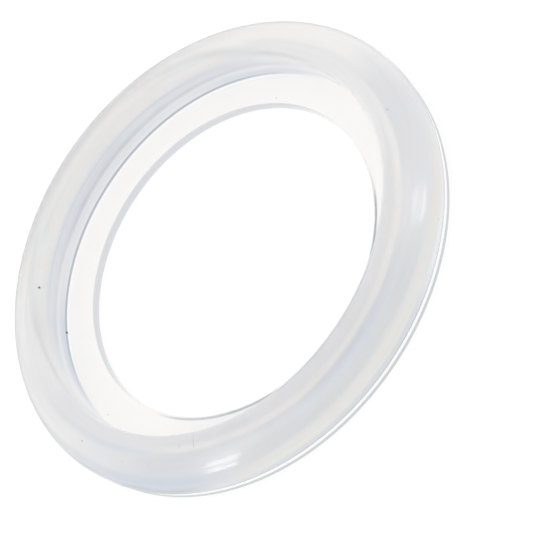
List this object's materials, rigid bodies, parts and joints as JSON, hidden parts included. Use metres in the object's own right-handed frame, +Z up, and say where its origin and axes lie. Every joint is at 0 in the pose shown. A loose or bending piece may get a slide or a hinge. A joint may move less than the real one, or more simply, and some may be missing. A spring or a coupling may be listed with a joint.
{
  "type": "group head gasket",
  "caption": "Moulded translucent silicone sealing ring with a rolled bead, a round seat wall and a thin inner flange.",
  "frame": {"origin": "centre of the flat base", "axes": "+Z up through the ring, from the flat base towards the crown"},
  "size_m": [0.073, 0.073, 0.0085],
  "materials": {
    "silicone": "translucent satin silicone"
  },
  "bodies": {
    "root": {"gasket_ring": "silicone"}
  },
  "joints": []
}
